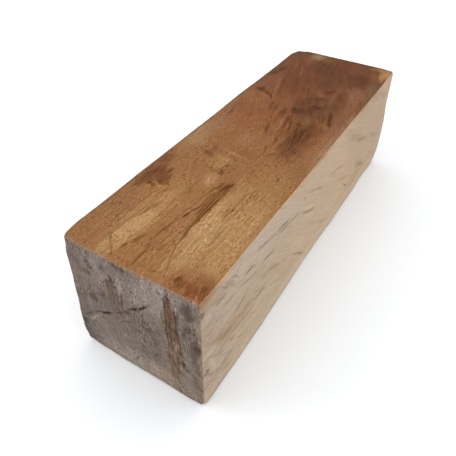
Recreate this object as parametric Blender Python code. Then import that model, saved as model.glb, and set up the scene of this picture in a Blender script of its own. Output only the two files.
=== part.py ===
"""Stabilised dogwood burl block, sawn nearly square: one piece of wood.

The length lies along X, with the greyed end grain at -X. The pale long face is at -Y, the
brown figured face is on top, and the block stands on Z = 0 with its box centred on the origin.
"""
import math

import bmesh
import bpy
from mathutils import Matrix, Vector

MM = 0.001

# Driving dimensions
LENGTH = 132.6 * MM
WIDTH = 40 * MM
HEIGHT = 40 * MM

# How much larger the rough billet is than the finished block
BILLET_ALLOWANCE = 1.2

# Lean of each saw cut, in degrees, as the slope of its face along the two other axes
NEAR_END_LEANS = (0.77, 0.41)
FAR_END_LEANS = (-0.11, -0.11)
PALE_SIDE_LEANS = (0.23, 0.34)
BACK_SIDE_LEANS = (0.43, -0.18)
TOP_LEANS = (-0.29, 0.05)
BOTTOM_LEANS = (0.0, 0.0)

# Rounding of the sanded arrises
FINE_ARRIS = 0.5 * MM
SOFT_ARRIS = 0.8 * MM
ARRIS_SEGMENTS = 4

# An edge whose direction has more than this along Z counts as upright
UPRIGHT = 0.9

# Corners worn round: how far the wear reaches along X, along Y and along Z
CORNER_WEAR = {
    (-1, 1, 1): (2.6 * MM, 2.2 * MM, 4.6 * MM),
    (-1, 1, -1): (2.4 * MM, 2.2 * MM, 2.0 * MM),
    (1, 1, 1): (3.4 * MM, 3.4 * MM, 3.2 * MM),
    (1, -1, 1): (2.6 * MM, 2.4 * MM, 4.6 * MM),
    (1, -1, -1): (1.6 * MM, 2.4 * MM, 1.6 * MM),
    (-1, -1, -1): (2.4 * MM, 2.2 * MM, 1.6 * MM),
}

# Drying checks in the near end: where each one starts and ends along Y and Z
END_CHECKS = (
    ((12.8 * MM, 16.4 * MM), (8.4 * MM, 18.9 * MM)),
    ((6.2 * MM, 20.1 * MM), (4.3 * MM, 21.4 * MM)),
    ((1.2 * MM, 24.8 * MM), (-1.4 * MM, 26.6 * MM)),
    ((-1.9 * MM, 26.9 * MM), (-4.0 * MM, 29.1 * MM)),
)
CHECK_WIDTH = 0.45 * MM
CHECK_DEPTH = 0.8 * MM
CHECK_ROOT_SHARES = (0.25, 0.75)

# Colour and finish of the wood
WOOD_COLOUR = (0.27, 0.12, 0.055, 1.0)
WOOD_ROUGHNESS = 0.55


def clear_scene():
    for old in list(bpy.data.objects):
        bpy.data.objects.remove(old, do_unlink=True)


def saw(mesh, point, outward):
    """Cuts the mesh by a plane, drops what lies outward of it and closes the cut face."""
    everything = mesh.verts[:] + mesh.edges[:] + mesh.faces[:]
    cut = bmesh.ops.bisect_plane(
        mesh, geom=everything, plane_co=point, plane_no=outward, clear_outer=True
    )
    rim = [item for item in cut["geom_cut"] if isinstance(item, bmesh.types.BMEdge)]
    bmesh.ops.edgeloop_fill(mesh, edges=rim)


def saw_face(mesh, axis, side, leans):
    """One long or end face: half the block's size out along the axis, leaning by the two slopes."""
    reach = (LENGTH, WIDTH, HEIGHT)[axis] / 2
    outward = Vector((0, 0, 0))
    outward[axis] = side
    point = Vector((0, 0, HEIGHT / 2)) + outward * reach
    others = [other for other in range(3) if other != axis]
    for other, degrees in zip(others, leans):
        outward[other] = -side * math.tan(math.radians(degrees))
    saw(mesh, point, outward.normalized())


def corner_at(mesh, direction):
    """The vertex furthest out in a direction."""
    return max(mesh.verts, key=lambda vertex: vertex.co.dot(direction)).co.copy()


def knock_corner(mesh, signs, lengths):
    """Cuts one corner off along a plane that meets its three edges at the given lengths."""
    corner = corner_at(mesh, Vector(signs))
    outward = Vector([sign / length for sign, length in zip(signs, lengths)])
    point = corner - Vector((signs[0] * lengths[0], 0, 0))
    saw(mesh, point, outward.normalized())


def arris_radius(edge):
    """The rounding that an edge gets, by where it lies."""
    middle = (edge.verts[0].co + edge.verts[1].co) / 2
    run = (edge.verts[1].co - edge.verts[0].co).normalized()
    upright = abs(run.z) > UPRIGHT
    if upright or middle.z < HEIGHT / 2:
        return SOFT_ARRIS
    return FINE_ARRIS


def sawn_mesh():
    mesh = bmesh.new()
    bmesh.ops.create_cube(mesh, size=1.0)
    billet = Matrix.Diagonal((LENGTH, WIDTH, HEIGHT)) * BILLET_ALLOWANCE
    for vertex in mesh.verts:
        vertex.co = billet @ vertex.co + Vector((0, 0, HEIGHT / 2))
    saw_face(mesh, 0, -1, NEAR_END_LEANS)
    saw_face(mesh, 0, 1, FAR_END_LEANS)
    saw_face(mesh, 1, -1, PALE_SIDE_LEANS)
    saw_face(mesh, 1, 1, BACK_SIDE_LEANS)
    saw_face(mesh, 2, -1, BOTTOM_LEANS)
    saw_face(mesh, 2, 1, TOP_LEANS)
    for signs, lengths in CORNER_WEAR.items():
        knock_corner(mesh, signs, lengths)
    return mesh


def wood():
    material = bpy.data.materials.new("dogwood_burl")
    material.use_nodes = True
    shader = material.node_tree.nodes["Principled BSDF"]
    shader.inputs["Base Color"].default_value = WOOD_COLOUR
    shader.inputs["Roughness"].default_value = WOOD_ROUGHNESS
    shader.inputs["Metallic"].default_value = 0.0
    return material


def near_end_x(y, z):
    """X of the near end's sawn face at a place on it."""
    slope_y, slope_z = (math.tan(math.radians(lean)) for lean in NEAR_END_LEANS)
    return -LENGTH / 2 + slope_y * y + slope_z * (z - HEIGHT / 2)


def add_check(mesh, start, end):
    """A wedge, lens-shaped at the face and sharp at its root.

    It stands out of the near end by its depth, and is twice as wide there as at the face.
    """
    start, end = Vector(start), Vector(end)
    middle = (start + end) / 2
    across = (end - start).normalized().orthogonal() * CHECK_WIDTH
    rim = [(start, -CHECK_DEPTH), (end, -CHECK_DEPTH)]
    rim += [(middle + across, -CHECK_DEPTH), (middle - across, -CHECK_DEPTH)]
    root = [(start.lerp(end, share), CHECK_DEPTH) for share in CHECK_ROOT_SHARES]
    wedge = []
    for place, depth in rim + root:
        point = (near_end_x(*place) + depth, place.x, place.y)
        wedge.append(mesh.verts.new(point))
    bmesh.ops.convex_hull(mesh, input=wedge)


def check_cutters():
    """All the end checks as one hidden cutter."""
    mesh = bmesh.new()
    for start, end in END_CHECKS:
        add_check(mesh, start, end)
    data = bpy.data.meshes.new("end_checks")
    mesh.to_mesh(data)
    mesh.free()
    cutters = bpy.data.objects.new("end_checks", data)
    bpy.context.scene.collection.objects.link(cutters)
    cutters.hide_render = True
    cutters.display_type = "WIRE"
    return cutters


def burl_block():
    mesh = sawn_mesh()
    widest = max(arris_radius(edge) for edge in mesh.edges)
    weights = mesh.edges.layers.float.new("bevel_weight_edge")
    for edge in mesh.edges:
        edge[weights] = arris_radius(edge) / widest
    data = bpy.data.meshes.new("burl_block")
    mesh.to_mesh(data)
    mesh.free()
    data.materials.append(wood())
    block = bpy.data.objects.new("burl_block", data)
    bpy.context.scene.collection.objects.link(block)
    rounding = block.modifiers.new("sanded_arrises", "BEVEL")
    rounding.limit_method = "WEIGHT"
    rounding.width = widest
    rounding.segments = ARRIS_SEGMENTS
    cutters = check_cutters()
    cutters.parent = block
    cut = block.modifiers.new("end_checks", "BOOLEAN")
    cut.operation = "DIFFERENCE"
    cut.object = cutters
    return block


def stand_on_origin(block):
    """Moves the block so that its box is centred on the origin and its foot is at Z = 0."""
    bpy.context.view_layer.update()
    rounded = block.evaluated_get(bpy.context.evaluated_depsgraph_get())
    corners = [Vector(corner) for corner in rounded.bound_box]
    low = Vector([min(corner[axis] for corner in corners) for axis in range(3)])
    high = Vector([max(corner[axis] for corner in corners) for axis in range(3)])
    centre = (low + high) / 2
    block.location = -Vector((centre.x, centre.y, low.z))


clear_scene()
stand_on_origin(burl_block())
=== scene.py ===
"""Looks of a stabilised dogwood burl block: a sawn bar with a figured brown top, a pale long side
and a grey-brown, rough sawn end. The side's paleness is partly painted sheen and the end's grey
partly painted shade. Lengths are in millimetres until the mesh is made."""
import math
from dataclasses import dataclass

import bpy
import numpy as np
from mathutils import Euler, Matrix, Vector, noise


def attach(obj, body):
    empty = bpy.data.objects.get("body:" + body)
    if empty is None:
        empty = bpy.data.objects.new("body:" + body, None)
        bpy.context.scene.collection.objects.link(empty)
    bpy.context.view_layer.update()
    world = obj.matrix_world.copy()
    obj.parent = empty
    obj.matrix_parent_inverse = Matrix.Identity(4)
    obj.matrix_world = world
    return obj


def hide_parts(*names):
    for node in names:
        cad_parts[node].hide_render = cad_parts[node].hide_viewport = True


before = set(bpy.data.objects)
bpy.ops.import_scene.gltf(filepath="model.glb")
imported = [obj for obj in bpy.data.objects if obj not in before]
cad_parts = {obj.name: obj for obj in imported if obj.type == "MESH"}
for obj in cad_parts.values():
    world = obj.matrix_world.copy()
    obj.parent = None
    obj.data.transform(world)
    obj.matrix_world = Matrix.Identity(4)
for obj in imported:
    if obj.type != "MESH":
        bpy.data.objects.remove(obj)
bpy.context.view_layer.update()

MM = 0.001
NODE = "burl_block"
PIECE = "burl_block_wood"

# The sawn block, with each face as (axis, side, slopes of its lean in degrees)
LENGTH = 132.6
WIDTH = 40.0
HEIGHT = 40.0
SIZE = np.array((LENGTH, WIDTH, HEIGHT))
FACES = {
    "near": (0, -1, (0.77, 0.41)),
    "far": (0, 1, (-0.11, -0.11)),
    "back": (1, 1, (0.43, -0.18)),
    "pale": (1, -1, (0.23, 0.34)),
    "top": (2, 1, (-0.29, 0.05)),
    "foot": (2, -1, (0.0, 0.0)),
}
# The faces that end each grain axis: along the length, from back to pale side, from top to foot
ENDS = (("near", "far"), ("back", "pale"), ("top", "foot"))
SLOTS = tuple(FACES)

# Rounding of the arrises, and how unevenly it runs
ARRIS = 0.55
ARRIS_RAGGED = 0.15
ARRIS_RAGGED_SIZE = 2.3

# Moves the block so that its box is centred on the origin
CENTRING = (0.161, -0.09, 0.0)

# Where arrises and corners are worn further: the place, how far the wear spreads along the length,
# across and down, and how far the rounding then reaches along each of them
WEAR = (
    ((0, 0, 0), (6, 6, 6), (2.2, 2.0, 1.0)),
    ((0, WIDTH, 0), (4, 4, 4), (0.8, 0.8, 0.6)),
    ((0, WIDTH, HEIGHT), (6, 6, 6), (2.2, 2.0, 0.9)),
    ((0, 0, HEIGHT), (6, 6, 6), (1.5, 1.0, 1.5)),
    ((LENGTH, 0, 0), (6, 6, 6), (2.6, 2.2, 1.8)),
    ((LENGTH, WIDTH, 0), (5, 5, 6), (0.9, 1.0, 1.4)),
    ((LENGTH, WIDTH, HEIGHT), (5, 5, 5), (1.0, 2.2, 2.4)),
    ((LENGTH, 0, HEIGHT), (6, 6, 6), (1.8, 1.6, 1.5)),
    ((74, WIDTH, HEIGHT), (42, 8, 8), (0.6, 1.15, 1.15)),
    ((0, 20, HEIGHT), (8, 18, 8), (1.1, 0.6, 1.0)),
)
# Bows of the faces: the place, how far each spreads, the face it moves, and how far out it moves it
SWELLS = (
    ((0, 0, 32), (14, 9, 10), "back", 0.5),
    ((0, 0, 10), (12, 8, 9), "back", -0.36),
    ((0, 5, HEIGHT), (8, 9, 7), "near", -0.28),
    ((LENGTH, WIDTH, 26), (14, 12, 14), "pale", 0.46),
    ((LENGTH, WIDTH, 26), (9, 14, 14), "far", 0.44),
    ((24, WIDTH, HEIGHT), (16, 9, 12), "pale", 0.16),
    ((66, WIDTH, HEIGHT), (20, 9, 10), "pale", -0.18),
    ((86, WIDTH, HEIGHT), (7, 8, 8), "pale", 0.16),
    ((117, WIDTH, HEIGHT), (9, 8, 8), "pale", -0.26),
    ((84, 0, 0), (14, 8, 8), "back", 0.16),
    ((112, 0, 0), (9, 8, 8), "back", -0.08),
    ((18, 0, 0), (12, 8, 8), "back", -0.1),
)
# How much of a wear's or a swell's spread is at its full strength: the fall is this much steeper
FALL = 1.4

# Low relief: a slow waviness all over, and the coarse tooth of the sawn ends
WAVE_SIZE = 19.0
WAVE_DEPTH = 0.07
TOOTH_SIZE = 1.1
TOOTH_DEPTH = 0.05
TOOTH_REACH = 1.0

# Drying checks in the near end: start and end across and down, half width, depth
CHECKS = (
    ((0.2, 32.6), (3.4, 28.4), 0.26, 0.25),
    ((3.2, 28.2), (7.3, 23.7), 0.22, 0.2),
    ((7.2, 23.6), (11.6, 21.1), 0.32, 0.6),
    ((11.6, 21.1), (13.8, 19.9), 0.22, 0.2),
    ((13.8, 19.9), (15.7, 18.6), 0.29, 0.4),
    ((15.7, 18.6), (18.8, 15.2), 0.22, 0.2),
    ((18.8, 15.2), (21.4, 13.4), 0.32, 0.55),
    ((21.9, 13.1), (24.0, 10.9), 0.3, 0.5),
)

# Mesh: cells along, across and down, and how they grow from the arrises inwards
CELLS = (176, 104, 104)
EDGE_CELL = 0.12
EDGE_GROWTH = 1.16

# How brightly the studio shows each face, as (gain, sheen) where it starts and where it ends.
# Colours below are given as they are seen, in 8-bit display values, and these turn them into
# the wood's own colour.
TOP_LIGHT = ((1.34, 0.007), (1.26, 0.016))
SIDE_LIGHT = ((1.14, 0.01), (1.14, 0.012))
END_LIGHT = ((1.22, 0.009), (1.22, 0.009))
DARKEST = 0.003

# The ground colour of each face, as (place along it, colour), and the figure on it: soft ovals that
# lie over the ground in turn. A mark's ten numbers are its centre and its reach along the face's two
# directions in millimetres, its turn in degrees, its softness in percent, its red, green and blue,
# and its strength in percent.
TOP_BASE = (
    (0, (158, 112, 73)), (12, (161, 116, 77)), (28, (158, 113, 73)), (45, (153, 108, 70)),
    (60, (151, 103, 67)), (75, (144, 94, 60)), (88, (131, 83, 53)), (100, (123, 76, 49)),
    (115, (113, 70, 45)), (132, (114, 71, 46)),
)
TOP_MARKS = (
    # Broad patches of tone, with the pale lenses at the near end
    (10, 3, 16, 5, 0, 80, 150, 106, 70, 80), (13.6, 13.2, 12.4, 3.6, 2, 50, 188, 148, 103, 90),
    (23, 14.2, 5.6, 2, -8, 80, 174, 130, 88, 70), (27, 9, 5, 3, 0, 80, 170, 124, 80, 60),
    (12, 18.4, 15, 2.6, 3, 70, 158, 110, 70, 80), (24, 18, 6, 4, 0, 90, 170, 122, 80, 50),
    (8, 23.4, 9, 2, 4, 60, 164, 117, 75, 70), (22.5, 29.2, 18.5, 4.5, 0, 30, 187, 148, 104, 90),
    (24, 35.5, 21, 4.6, -2, 60, 182, 141, 96, 85), (52, 37, 12, 3.4, 0, 90, 144, 103, 68, 50),
    (80, 38, 14, 2.6, 0, 90, 144, 107, 80, 50), (95, 2, 30, 2.6, 0, 90, 136, 99, 75, 40),
    (40, 31, 10, 5, 0, 80, 162, 117, 76, 60), (56, 3, 9, 3, -2, 70, 163, 128, 92, 85),
    (65, 3.8, 7, 2.6, 0, 80, 148, 110, 82, 70), (86, 7, 6, 5, -20, 80, 150, 102, 68, 70),
    (100, 4, 7, 4, 0, 80, 132, 88, 62, 70), (80, 26.6, 16, 5, -8, 90, 114, 74, 48, 80),
    (91, 25, 8, 7, 0, 90, 106, 68, 44, 70), (88.5, 16.6, 4.5, 2, -10, 90, 146, 98, 64, 60),
    (32, 20, 8, 2, 0, 80, 160, 113, 73, 70), (7, 5.5, 7, 3, 0, 80, 160, 114, 76, 60),
    (76, 9, 5, 4, 0, 80, 142, 92, 62, 70), (60, 16.5, 4, 2.2, 0, 80, 164, 118, 82, 70),
    # Dark patch on the back edge
    (30.4, 3.3, 4.4, 3, -10, 80, 106, 69, 40, 85), (33.4, 4.8, 2.8, 2.6, -20, 70, 112, 68, 44, 85),
    (31, 7.6, 2.6, 1.5, -35, 70, 118, 74, 46, 85), (27.2, 5.9, 0.9, 1.4, 20, 60, 98, 60, 30, 85),
    (26.2, 7.2, 1.6, 0.9, -20, 70, 126, 84, 50, 70), (38.6, 2.2, 3.6, 1.8, 0, 80, 120, 76, 52, 85),
    (35, 6.8, 1.4, 0.6, -20, 70, 104, 66, 42, 80), (32, 8.6, 1.6, 0.5, -10, 70, 112, 72, 44, 75),
    (29.2, 7.4, 0.7, 1.3, 15, 70, 104, 66, 38, 75), (32.6, 2.2, 1.8, 0.5, 10, 70, 140, 98, 66, 60),
    # Reddish near corner
    (2.6, 35, 4, 5.5, 0, 80, 146, 97, 62, 70), (2.4, 35.8, 1.7, 3.6, 10, 60, 122, 74, 47, 90),
    (5.4, 37.4, 2, 2.4, 0, 70, 140, 94, 58, 70), (3.4, 31.7, 1.3, 0.6, 10, 50, 104, 66, 32, 90),
    (3.6, 38.6, 1.1, 0.8, 0, 60, 112, 72, 42, 80),
    # Eye and the curved strokes round it
    (37.2, 18, 2.9, 1.6, -10, 80, 184, 141, 101, 80), (45.8, 16, 3.6, 2.8, -10, 60, 170, 127, 84, 85),
    (41.6, 16.6, 0.6, 2.8, 8, 80, 138, 92, 55, 70), (43.4, 20.4, 3, 1.2, 0, 80, 138, 93, 60, 60),
    (41.7, 19.1, 1.1, 0.5, -25, 80, 118, 77, 44, 80), (45.1, 19, 0.6, 0.6, 0, 80, 124, 82, 50, 75),
    (47.8, 11, 0.9, 2.1, 22, 60, 118, 75, 44, 85), (51, 11.4, 2.2, 1.2, -20, 80, 130, 86, 53, 75),
    (51.4, 18, 0.5, 4.6, 12, 80, 172, 126, 88, 60), (49.6, 17.4, 0.4, 3.6, 12, 80, 138, 94, 60, 60),
    (47.6, 16.6, 0.4, 2.6, 14, 80, 180, 137, 92, 60), (53.4, 20.5, 0.6, 3.8, 25, 80, 138, 93, 60, 45),
    # Flame between the lenses, drawn in thin dark and light lines
    (30, 24, 10, 1.5, 2, 50, 144, 97, 58, 85), (25, 23.8, 2.6, 1, 0, 70, 130, 83, 49, 70),
    (25.6, 23.1, 2.6, 0.22, -2, 60, 102, 60, 32, 85), (30.5, 23.4, 5.5, 0.2, 2, 60, 112, 70, 38, 85),
    (31, 24.2, 7.5, 0.2, 1, 60, 112, 70, 36, 85), (27, 24.95, 9, 0.26, 1, 60, 112, 70, 36, 85),
    (36, 23.8, 2.1, 0.34, 13, 70, 96, 58, 26, 90), (37.8, 24.6, 1.7, 0.4, 8, 70, 100, 61, 28, 90),
    (36.2, 22.3, 1.8, 0.3, 5, 70, 98, 60, 30, 90), (34, 24.7, 3.4, 0.2, 0, 60, 110, 69, 36, 85),
    (33.5, 22.9, 4, 0.16, 3, 60, 124, 80, 46, 80), (27.5, 22.4, 4, 0.16, 4, 60, 126, 82, 47, 75),
    (29, 24.6, 5, 0.14, 0, 60, 158, 112, 70, 60), (30, 23, 6, 0.14, 2, 60, 160, 114, 72, 60),
    # Grain lines and short strokes about the flame and the near end
    (34.3, 21.8, 1.8, 0.25, 12, 60, 110, 68, 40, 80), (21.7, 21.4, 1.1, 0.4, 15, 50, 92, 52, 25, 95),
    (25, 22, 3.4, 0.25, 14, 60, 108, 65, 35, 85), (29.4, 22.7, 2.8, 0.22, 8, 60, 120, 76, 44, 75),
    (31.5, 21.2, 4, 0.26, 8, 70, 132, 88, 54, 55), (26, 20.6, 7, 0.2, 5, 70, 138, 94, 58, 70),
    (20, 17.4, 6, 0.2, 3, 70, 140, 96, 58, 65), (10, 21.8, 5, 0.18, 5, 70, 134, 92, 54, 70),
    (12, 23.4, 6, 0.18, 3, 70, 136, 92, 56, 70), (9, 24.6, 4, 0.18, -4, 70, 138, 94, 58, 65),
    (18, 22.8, 5, 0.16, 3, 70, 172, 126, 82, 60), (6, 19.2, 5, 0.2, 2, 70, 174, 130, 86, 60),
    (24, 15.6, 6, 0.18, 0, 70, 142, 98, 60, 65), (18, 8.6, 7, 0.2, 2, 70, 140, 96, 60, 60),
    (9, 7, 5, 0.18, 3, 70, 142, 96, 62, 60), (25, 31.2, 6, 0.18, 1, 70, 150, 106, 66, 65),
    (17, 33.8, 5, 0.16, -2, 70, 152, 108, 68, 60), (33, 30, 5, 0.2, -2, 70, 144, 100, 62, 65),
    (13, 26.4, 4.6, 0.8, 0, 80, 178, 136, 92, 60), (16, 25.1, 4.6, 0.34, -8, 60, 120, 77, 42, 90),
    (9.6, 26.2, 3.2, 0.22, -14, 60, 140, 96, 58, 80), (20.5, 24.7, 3.6, 0.5, 0, 70, 130, 86, 48, 85),
    (7.6, 27, 3.2, 0.24, -20, 70, 142, 98, 58, 70), (14, 19.8, 5.5, 0.34, 5, 70, 126, 82, 47, 80),
    (4.4, 20.5, 4, 0.3, 0, 70, 124, 81, 46, 85), (3, 22, 3, 0.3, 4, 70, 142, 97, 58, 60),
    (13, 10.4, 7, 0.34, 3, 70, 141, 97, 58, 70), (17.2, 11.6, 2.2, 0.5, 5, 70, 134, 92, 53, 75),
    (20.4, 12.3, 1.6, 0.7, 5, 70, 142, 98, 57, 70), (3.8, 12.7, 3.5, 0.24, -40, 60, 136, 90, 53, 80),
    (5.4, 15.4, 1.8, 0.4, 6, 60, 122, 82, 46, 85), (8.8, 16.6, 2.2, 0.5, 14, 60, 122, 82, 44, 80),
    (32, 16.2, 4, 0.35, -2, 70, 140, 97, 60, 70), (27, 11.3, 1.8, 0.6, 10, 70, 138, 96, 58, 70),
    (16, 28.7, 2.6, 0.22, -3, 70, 146, 104, 62, 75), (19, 32, 4.6, 0.22, 2, 70, 146, 102, 62, 75),
    (11, 33, 4, 0.2, 0, 70, 150, 108, 66, 60), (27.5, 29.7, 1.8, 0.4, 0, 70, 146, 102, 62, 65),
    (46.6, 34, 1, 0.35, 0, 60, 124, 82, 50, 80),
    # Dark figure across the middle and the far half
    (58.5, 24, 2.2, 0.32, -20, 70, 118, 76, 46, 75), (63, 24.5, 2.6, 0.26, -10, 70, 112, 71, 43, 80),
    (67.4, 19.8, 1.8, 0.34, -25, 70, 118, 78, 47, 75), (70, 18.7, 2.6, 0.42, -14, 70, 112, 71, 43, 80),
    (68, 30.8, 9.5, 3.6, -2, 85, 116, 76, 49, 65), (62, 32, 4, 2.4, 10, 90, 124, 81, 52, 40),
    (74, 31.5, 4, 2.6, -10, 90, 106, 66, 42, 60), (65.5, 28.8, 5.6, 0.9, -4, 90, 104, 66, 42, 55),
    (63.5, 29.9, 3.4, 0.3, 0, 80, 92, 56, 34, 80), (70, 31.4, 3, 0.8, 5, 90, 104, 64, 41, 70),
    (62, 31, 2.6, 0.5, 10, 80, 106, 66, 42, 70), (73.4, 33.6, 0.5, 1.8, 5, 80, 110, 70, 44, 65),
    (66.4, 26.9, 3, 0.4, -6, 80, 110, 70, 44, 70), (70.2, 28, 3.8, 0.4, -14, 60, 92, 54, 33, 85),
    (71, 29.7, 3.8, 0.4, -3, 70, 94, 54, 35, 80), (61.5, 31.5, 1.4, 0.6, -40, 70, 108, 66, 40, 70),
    (77.6, 29.8, 2, 1.3, 10, 70, 108, 65, 33, 85), (76.8, 26.6, 1.3, 0.5, -35, 60, 92, 55, 33, 85),
    (73.4, 24.6, 3.8, 0.55, -14, 60, 102, 63, 36, 85), (70, 25.4, 2.2, 0.6, -8, 70, 118, 77, 36, 70),
    (77, 22.1, 4.8, 0.65, -8, 60, 108, 67, 41, 85), (75.6, 21, 5, 0.3, -10, 70, 166, 119, 80, 50),
    (83.6, 13.3, 3, 0.55, -15, 70, 112, 70, 43, 80), (82.4, 15.3, 2.8, 0.6, -12, 70, 110, 69, 42, 85),
    (81, 18.2, 2.2, 1.1, 0, 70, 106, 64, 38, 85), (77, 18.8, 2.8, 0.6, -6, 70, 122, 78, 49, 70),
    (84.6, 22, 1.7, 2.1, 10, 70, 86, 57, 35, 90), (87, 29.5, 4.6, 2.6, 0, 80, 108, 73, 50, 65),
    (88.4, 25.8, 3.8, 1.5, 30, 70, 100, 58, 38, 85), (89.9, 27.6, 1.1, 0.9, 20, 60, 86, 44, 29, 85),
    (90.4, 21.8, 1.5, 0.8, -20, 70, 104, 61, 35, 80), (95, 21.2, 4, 0.45, -22, 70, 108, 69, 44, 70),
    (96.2, 25.6, 4, 1, 62, 70, 100, 60, 39, 85), (99.4, 24, 3, 1.4, -50, 80, 130, 90, 68, 65),
    (98.4, 28.8, 3.4, 1.3, -8, 80, 134, 93, 71, 70), (93, 27.6, 1.5, 0.5, 20, 80, 138, 97, 74, 55),
    (93.4, 30.6, 3.4, 2.2, 0, 80, 112, 80, 54, 70), (80, 27.6, 3, 1.3, -10, 80, 140, 98, 68, 60),
    (82.2, 31.6, 2.4, 0.7, -10, 70, 106, 67, 41, 85), (85.2, 33.5, 3, 0.6, -15, 60, 90, 58, 36, 90),
    (81.4, 34.8, 1.4, 0.55, -18, 60, 94, 58, 37, 85),
    # Hooked stroke and the streaks of the back edge
    (92.4, 4.4, 1.5, 1.9, 10, 60, 96, 59, 37, 90), (90.8, 7.8, 2.9, 0.8, -62, 60, 104, 61, 37, 90),
    (88.8, 10.4, 1.4, 0.5, -30, 60, 98, 59, 34, 85), (78, 3.4, 2.6, 0.4, -12, 70, 118, 84, 58, 75),
    (73, 3.9, 2, 0.5, -10, 70, 112, 80, 62, 75), (97, 8.5, 8, 0.55, -17, 70, 152, 104, 76, 65),
    (100, 9.6, 6, 0.5, -14, 70, 102, 63, 40, 75), (106.5, 12, 2.8, 0.5, -25, 70, 94, 57, 36, 75),
    # Far half, which is darker and redder
    (100.5, 19.1, 1.1, 0.42, -28, 60, 86, 49, 29, 90), (93, 36.4, 9, 2.2, -6, 80, 134, 94, 66, 75),
    (104, 35, 5.5, 3, -17, 70, 142, 99, 75, 85), (99.6, 31.4, 5, 1.7, -10, 80, 106, 66, 43, 80),
    (103, 26.6, 2.2, 1.2, 20, 70, 96, 57, 35, 80), (106.5, 28.2, 3, 1.1, -20, 80, 124, 86, 62, 60),
    (104, 15, 9, 6, 0, 90, 112, 70, 46, 60), (107.5, 2.4, 3, 1.3, 8, 70, 88, 59, 40, 80),
    (115, 22, 7.5, 5, -10, 80, 100, 66, 42, 85), (121, 16.5, 5.4, 3.8, -20, 80, 96, 64, 42, 85),
    (123.8, 15, 2.6, 1.2, -20, 80, 92, 60, 34, 80), (122, 21.4, 4, 1.8, -10, 90, 92, 58, 40, 60),
    (122, 23.5, 6, 1.6, -12, 80, 110, 62, 43, 65), (118, 33, 4.4, 4.2, 0, 80, 98, 58, 38, 85),
    (122.4, 36, 3.6, 1.8, -15, 80, 134, 92, 62, 55), (112, 30, 3, 0.6, -25, 70, 98, 60, 38, 70),
    # Golden corner and stains by the far edge
    (127, 38.8, 5.6, 2.3, -12, 60, 170, 130, 86, 95), (130.4, 36, 2.2, 2.6, 0, 60, 162, 121, 74, 85),
    (128, 3, 5, 2.6, 0, 90, 104, 74, 54, 60), (125, 9, 4, 1.8, -10, 90, 132, 96, 70, 50),
    (129.4, 10.8, 2.8, 2.8, -20, 70, 154, 122, 95, 80), (129.8, 2, 2.4, 1.2, 0, 80, 92, 64, 46, 70),
    (127.5, 15.5, 2.5, 1.9, 0, 70, 112, 84, 52, 70), (128.5, 19, 1.3, 0.9, 0, 70, 126, 70, 54, 70),
    (112, 3.2, 3.2, 1.1, -5, 70, 92, 57, 36, 80), (116, 1.8, 2.6, 1, 0, 80, 122, 86, 64, 60),
    (116.5, 9.5, 4, 0.5, -18, 70, 98, 60, 39, 70), (114, 10.4, 5, 0.4, -18, 70, 142, 95, 68, 55),
    (119, 6, 5, 0.4, -16, 70, 138, 92, 66, 50),
    # Tones along the arrises. The long dark line on the back edge and the dark line on the far edge
    # are painted shade on the rounded arrises; the shorter marks are tones of the wood
    (97.5, 38.7, 3.2, 0.7, -5, 70, 112, 78, 54, 70), (86, 39.4, 8, 1, 0, 80, 152, 119, 88, 70),
    (66, 39.4, 10, 1.3, 0, 80, 160, 126, 94, 70), (113, 37.8, 6, 1.8, -12, 80, 126, 98, 70, 65),
    (103, 39.4, 7, 0.8, 0, 80, 120, 92, 66, 60), (76, 1.2, 9, 0.9, 0, 80, 146, 112, 84, 60),
    (118, 0.9, 14, 1.3, 0, 80, 104, 74, 52, 65), (66, 0, 80, 0.7, 0, 80, 100, 78, 62, 75),
    (132.4, 20, 1.1, 24, 0, 80, 92, 70, 54, 85),
)
# The pale side's ground: partly the wood's own pale tone, partly painted sheen that makes the side paler
SIDE_BASE = (
    (0, (173, 151, 132)), (8, (179, 159, 140)), (20, (182, 162, 140)), (40, (185, 164, 141)),
    (60, (188, 165, 140)), (80, (189, 165, 138)), (100, (184, 159, 132)), (116, (181, 157, 133)),
    (132, (184, 159, 135)),
)
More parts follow.
